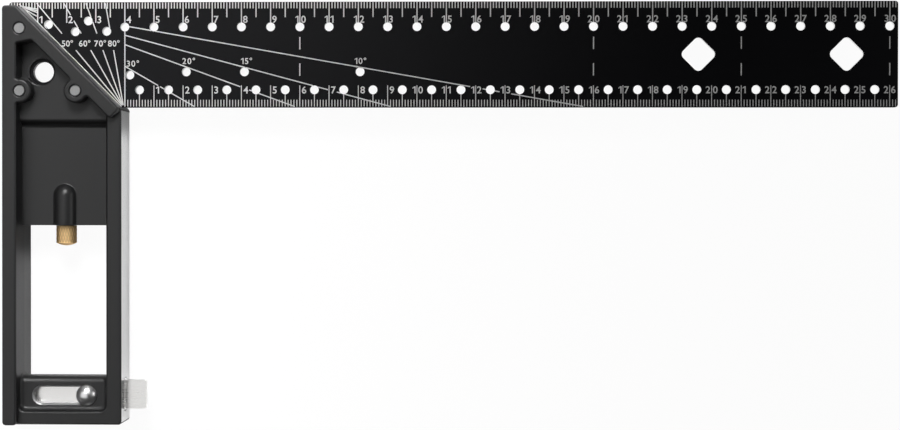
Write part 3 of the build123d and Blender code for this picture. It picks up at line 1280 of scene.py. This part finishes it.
@dataclass
class Studio:
    """Pale floor, soft lamps, surroundings and the camera."""

    eye: tuple = (15.75, 3.97, 606.84)
    turn: tuple = (-0.4412, 1.5225, 0.0678)
    lens: float = 70.0
    sensor: float = 36.0
    clip_start: float = 0.01
    floor_half: float = 6.0
    floor_drop: float = 0.0002
    glow: float = 0.95
    floor_tone: float = 0.08
    paper: float = 0.75
    ceiling: float = 0.03
    horizon: float = 0.9
    dusk: tuple = (0.1, 0.28)
    # Box round the square where the floor's glow in reflections is dimmed: painted shade, with a
    # painted glow beyond it.
    dim_centre: tuple = (-0.13, -0.0025, 0.0)
    dim_half: tuple = (0.022, 0.045)
    dim_reach: float = 0.045
    dim_level: tuple = (0.12, 0.9)
    lamps: tuple = (
        Lamp("overhead", (-0.48, 0.0, 0.55), (-0.48, 0.0, 0.0), (0.8, 0.62), 1.22),
        Lamp("key", (-0.185, 0.5, 0.6), (-0.35, -0.03, 0.0), (0.36, 0.26), 1.0, 50.0),
        Lamp("fill", (0.7, 0.1, 0.28), (0.1, 0.03, 0.0), (0.3, 0.3), 0.8),
        Lamp("end", (0.5, 0.05, 0.55), (0.5, 0.05, 0.0), (0.3, 0.3), 0.12),
    )

    def floor(self) -> None:
        """Lays the floor, white to the camera but for a faint shadow; to glossy rays it glows as a
        painted reflection, dim round the square as painted shade and bright further out.
        """
        mesh = bpy.data.meshes.new("floor")
        corners = [
            (x * self.floor_half, y * self.floor_half, -self.floor_drop)
            for x, y in ((-1, -1), (1, -1), (1, 1), (-1, 1))
        ]
        mesh.from_pydata(corners, [], [(0, 1, 2, 3)])
        paper = bpy.data.materials.new("floor_paper")
        paper.use_nodes = True
        paper.node_tree.nodes.clear()
        nodes = Nodes(paper.node_tree)
        path = nodes.add("ShaderNodeLightPath").outputs
        seen = nodes.math("MAXIMUM", path["Is Camera Ray"], path["Is Transmission Ray"])
        lit = nodes.add("ShaderNodeBsdfDiffuse", {"Color": grey(self.paper)})
        # Glow seen only in reflections, a painted reflection: dim in the box round the square as
        # painted shade, bright beyond.
        place = nodes.add("ShaderNodeTexCoord").outputs["Object"]
        part = nodes.parts_from(place, self.dim_centre)
        beyond = [
            nodes.math("SUBTRACT", nodes.math("ABSOLUTE", part[axis]), half)
            for axis, half in enumerate(self.dim_half)
        ]
        painted_glow = nodes.add("ShaderNodeMapRange", {
            "Value": nodes.math("MAXIMUM", *beyond), "From Min": 0.0, "From Max": self.dim_reach,
            "To Min": self.dim_level[0], "To Max": self.dim_level[1],
        }, interpolation_type="SMOOTHSTEP").outputs[0]
        strength = nodes.math("MULTIPLY", painted_glow, path["Is Glossy Ray"])
        mirrored = nodes.add("ShaderNodeEmission", {"Strength": strength})
        lit = nodes.add("ShaderNodeAddShader", {0: lit.outputs[0], 1: mirrored.outputs[0]})
        glow = nodes.add("ShaderNodeEmission", {"Strength": self.glow})
        shadowed = nodes.add("ShaderNodeBsdfDiffuse", {"Color": grey(self.floor_tone)})
        white = nodes.add("ShaderNodeAddShader", {0: glow.outputs[0], 1: shadowed.outputs[0]})
        mixed = nodes.add("ShaderNodeMixShader", {0: seen, 1: lit.outputs[0], 2: white.outputs[0]})
        nodes.add("ShaderNodeOutputMaterial", {"Surface": mixed.outputs[0]})
        new_object("floor", mesh, paper)

    def surroundings(self) -> None:
        """Makes the room: pale at the horizon, dark overhead."""
        world = bpy.data.worlds.new("room")
        bpy.context.scene.world = world
        world.use_nodes = True
        world.node_tree.nodes.clear()
        nodes = Nodes(world.node_tree)
        direction = nodes.add("ShaderNodeTexCoord").outputs["Generated"]
        rise = nodes.add("ShaderNodeSeparateXYZ", {0: direction}).outputs["Z"]
        level = nodes.add("ShaderNodeMapRange", {
            "Value": rise, "From Min": self.dusk[0], "From Max": self.dusk[1],
            "To Min": self.horizon, "To Max": self.ceiling,
        }, interpolation_type="SMOOTHSTEP")
        back = nodes.add("ShaderNodeBackground", {"Strength": level.outputs[0]})
        nodes.add("ShaderNodeOutputWorld", {"Surface": back.outputs[0]})

    def camera(self) -> None:
        """Sets the camera at the photograph's place."""
        data = bpy.data.cameras.new("camera")
        data.lens = self.lens
        data.sensor_width = self.sensor
        data.sensor_fit = "HORIZONTAL"
        data.clip_start = self.clip_start
        camera = bpy.data.objects.new("camera", data)
        camera.location = Vector(self.eye) * MM
        camera.rotation_euler = [math.radians(angle) for angle in self.turn]
        bpy.context.scene.collection.objects.link(camera)
        bpy.context.scene.camera = camera

    def build(self) -> None:
        """Sets up floor, light and camera."""
        self.floor()
        self.surroundings()
        for lamp in self.lamps:
            lamp.build()
        self.camera()
        bpy.context.scene.view_settings.view_transform = "Standard"


def main() -> None:
    """Builds and dresses the square, piece by piece."""
    logging.basicConfig(level=logging.INFO, format="%(name)s: %(message)s")
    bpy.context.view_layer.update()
    plan = Plan.of_frame()
    Stock(plan).dress()
    Blade().dress()
    Fittings().dress()
    ink = INK.material()
    for side in Side:
        Graduation(plan, side).dress(ink)
    Knob(plan).dress()
    Studio().build()


if __name__ == "__main__":
    main()
